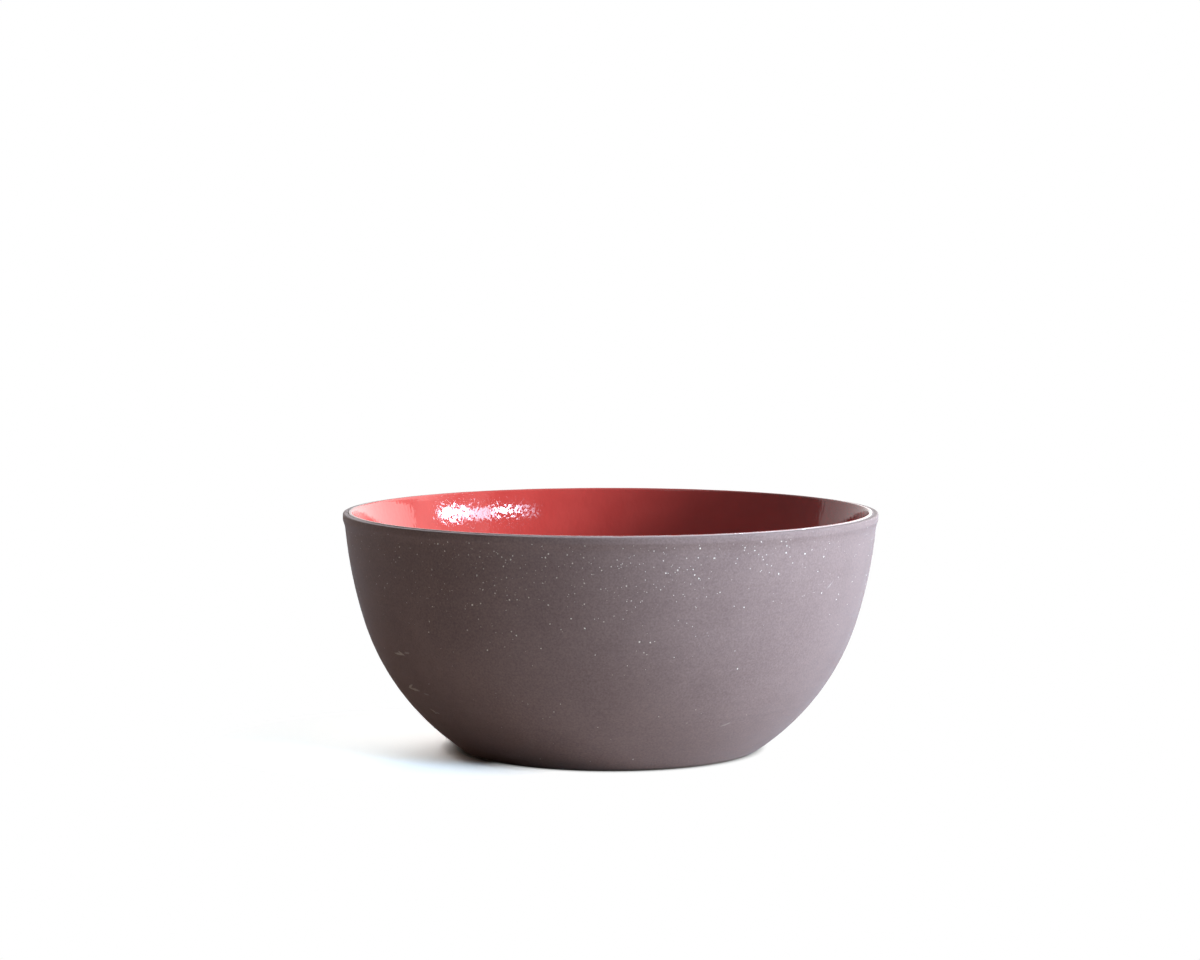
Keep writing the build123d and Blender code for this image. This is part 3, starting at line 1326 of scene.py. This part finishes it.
@dataclass(frozen=True)
class Studio:
    """White sweep, low soft window on the right and the camera.

    Attributes:
        camera_distance: From the bowl's axis, level, in metres.
        camera_height: Above the floor, in metres.
        camera_pitch: Degrees below level.
        camera_yaw: Degrees to the left.
        camera_clip: Nearest and farthest distance that it sees, in metres.
        focal_length: In millimetres, on a sensor of the given width.
        sweep: Brightness of the lit sweep behind the bowl, at its middle.
        sweep_rise: Degrees from level up to that middle.
        sweep_narrowing: Power of the cosine that the brightness follows away from there.
        floor_reach: Half width of the floor, in metres.
        floor_bounce: Warm colour of the light that the floor throws back at the bowl.
        floor_gloss: Share of its light that gloss and glass see, to which lit paper is white.
        floor_lift: The same for the camera, which sees lit paper and its half shade as white.
        floor_tint: Colour of the paper to the camera, cool enough to even out the warm light in the shade.
        floor_contact: Reach of the painted contact shade along the foot, darkened by the occlusion node, in
            metres.
        contact_samples: Rays that look for it.
        shadow_middle: Middle of the shadow on the floor, in metres.
        shadow_reach: Distances from there between which the floor passes into plain white, in metres.
        lamps: What lights the bowl from the side.
        cards: What the gloss mirrors.
    """

    camera_distance: float = 1.5
    camera_height: float = 0.2523
    camera_pitch: float = 4.752
    camera_yaw: float = 0.19
    camera_clip: tuple[float, float] = (0.05, 50.0)
    focal_length: float = 95.03
    sensor_width: float = 36.0
    sweep: float = 4.0
    sweep_rise: float = 14.7
    sweep_narrowing: float = 12.8
    floor_reach: float = 6.0
    floor_bounce: str = "#CFB4A2"
    floor_gloss: float = 0.73
    floor_lift: float = 4.4
    floor_tint: str = "#F5FDFF"
    floor_contact: float = 0.007
    contact_samples: int = 16
    shadow_middle: tuple[float, float, float] = (-0.09, 0.01, 0.0)
    shadow_reach: tuple[float, float] = (0.065, 0.105)
    lamps: tuple[Lamp, ...] = (
        Lamp("window_wide", (3.14, -0.41, 1.54), (1.4, 1.4), 412.0, WINDOW_LIGHT),
        Lamp("window_narrow", (2.84, -1.99, 0.75), (1.4, 1.4), 120.0, WINDOW_LIGHT),
        Lamp("skylight", (-2.15, 1.32, 2.49), (1.4, 1.4), 13.0, WHITE),
        Lamp("warm_wall", (-1.6, 1.9, 0.14), (1.4, 0.2), 12.0, "#FFD2A8"),
    )
    cards: tuple[Card, ...] = (
        Card("pane_wide", (1.112, -0.21, 0.462), (0.65, 0.058), PANE_WIDE, 7.7, WINDOW_LIGHT),
        Card("pane_narrow", (0.843, -0.715, 0.524), (0.529, 0.034), PANE_NARROW, 4.8, WINDOW_LIGHT),
        Card("white_back_wall", (0.647, 1.214, 0.31), (2.55, 0.46), (3.0, 3.4, 3.2, 2.8, 1.9, 1.2, 1.0)),
        Card("white_high_wall", (1.18, 0.55, 1.3), (1.9, 1.5), (0.4, 1.6, 2.8, 3.0, 3.0, 3.0)),
        Card("grey_side_wall", (1.274, 0.259, 0.31), (0.342, 0.46), (1.5, 1.5)),
        Card("dim_room", (0.6, -1.9, 1.2), (4.0, 2.4), (0.3, 0.3)),
        Card("dim_side", (-1.144, -0.361, 0.6), (2.62, 1.2), (0.3, 0.3)),
    )

    def build(self) -> None:
        """Set up the camera, the lamps, the cards, the world and the floor."""
        self._camera()
        for item in (*self.lamps, *self.cards):
            item.build()
        self._world()
        self._floor()
        bpy.context.scene.view_settings.view_transform = "Standard"

    def _camera(self) -> None:
        """Place the camera at the viewing angle of the photograph."""
        lens = bpy.data.cameras.new("camera")
        lens.lens = self.focal_length
        lens.sensor_width = self.sensor_width
        lens.clip_start, lens.clip_end = self.camera_clip
        camera = bpy.data.objects.new("camera", lens)
        camera.location = (0.0, -self.camera_distance, self.camera_height)
        tilt = math.radians(90.0 - self.camera_pitch)
        camera.rotation_euler = (tilt, 0.0, math.radians(self.camera_yaw))
        bpy.context.collection.objects.link(camera)
        bpy.context.scene.camera = camera

    def _world(self) -> None:
        """Light the bowl from the sweep behind it, and show white there."""
        world = bpy.data.worlds.new("sweep")
        graph = Graph.of(world)
        sky = graph.add("TexCoord", out="Generated")
        rise = math.radians(self.sweep_rise)
        middle = (0.0, math.cos(rise), math.sin(rise))
        toward = graph.add("VectorMath", {0: sky, 1: middle}, "Value", operation="DOT_PRODUCT")
        facing = graph.add("Math", {0: toward, 1: 0.0}, operation="MAXIMUM")
        share = graph.add("Math", {0: facing, 1: self.sweep_narrowing}, operation="POWER")
        strength = graph.add("Math", {0: share, 1: self.sweep}, operation="MULTIPLY")
        fill = graph.add("Background", {"Color": linear(WHITE), "Strength": strength})
        white = graph.add("Background", {"Color": linear(WHITE), "Strength": 1.0})
        camera = graph.add("LightPath", out="Is Camera Ray")
        shown = graph.add("Math", {0: camera, 1: self._mirrored(graph)}, operation="MAXIMUM")
        mixed = graph.add("MixShader", {0: shown, 1: fill, 2: white})
        graph.add("OutputWorld", {"Surface": mixed})
        bpy.context.scene.world = world

    def _mirrored(self, graph: Graph) -> Socket:
        """Tell the rays that look at the sweep by way of gloss or glass."""
        gloss, glass = [graph.add("LightPath", out=f"Is {kind} Ray") for kind in ("Glossy", "Transmission")]
        return graph.add("Math", {0: gloss, 1: glass}, operation="MAXIMUM")

    def _floor(self) -> None:
        """Lay the white paper that the bowl stands on."""
        square = np.array([[-1, -1, 0], [1, -1, 0], [1, 1, 0], [-1, 1, 0]]) * self.floor_reach
        mesh = bpy.data.meshes.new("paper_floor")
        mesh.from_pydata(square.tolist(), [], [[0, 1, 2, 3]])
        material = bpy.data.materials.new("white_paper")
        graph = Graph.of(material)
        camera = graph.add("LightPath", out="Is Camera Ray")
        grey = (self.floor_gloss,) * 3 + (1.0,)
        bounced = {MIX_A: linear(self.floor_bounce), MIX_B: grey}
        colour = graph.add("Mix", {0: self._mirrored(graph), **bounced}, **COLOURS)
        # Lifting the half shade would also lift the dark line along the foot, so the occlusion node paints
        # that contact shade back into the paper's colour
        lifted = tuple(self.floor_lift * part for part in linear(self.floor_tint))
        contact = {"Color": lifted, "Distance": self.floor_contact}
        seen = graph.add("AmbientOcclusion", contact, samples=self.contact_samples)
        colour = graph.add("Mix", {0: camera, MIX_A: colour, MIX_B: seen}, **COLOURS)
        paper = graph.add("BsdfDiffuse", {"Color": colour})
        # Away from the shadow the lifted paper is far brighter than white, which frays the bowl's edge
        # The plain white beyond is a glowing floor whose strength the occlusion node dims along the foot: a
        # painted contact shade
        occlusion_shade = seen.node.outputs["AO"]
        bright = graph.add("Math", {0: occlusion_shade, 1: self.floor_lift}, operation="MULTIPLY", use_clamp=True)
        white = graph.add("Emission", {"Strength": bright})
        place = graph.add("TexCoord", out="Object")
        away = graph.add("VectorMath", {0: place, 1: self.shadow_middle}, "Value", operation="DISTANCE")
        near, far = self.shadow_reach
        lit = graph.add("MapRange", {"Value": away, "From Min": near, "From Max": far})
        shown = graph.add("Math", {0: camera, 1: lit}, operation="MULTIPLY")
        graph.add("OutputMaterial", {"Surface": graph.add("MixShader", {0: shown, 1: paper, 2: white})})
        mesh.materials.append(material)
        add_object("paper_floor", mesh)


def main() -> None:
    """Build the bowl and the studio, and report each piece."""
    logging.basicConfig(level=logging.INFO, format="%(name)s: %(message)s")
    section = Section.of_frame()
    coat = SlipCoat(section)
    for part in (ClayBody(section), coat, MineralGrains(coat), GlazeLining(section)):
        made = part.build()
        made.data.calc_loop_triangles()
        LOG.info("%s: %d triangles", made.name, len(made.data.loop_triangles))
    Studio().build()


if __name__ == "__main__":
    main()
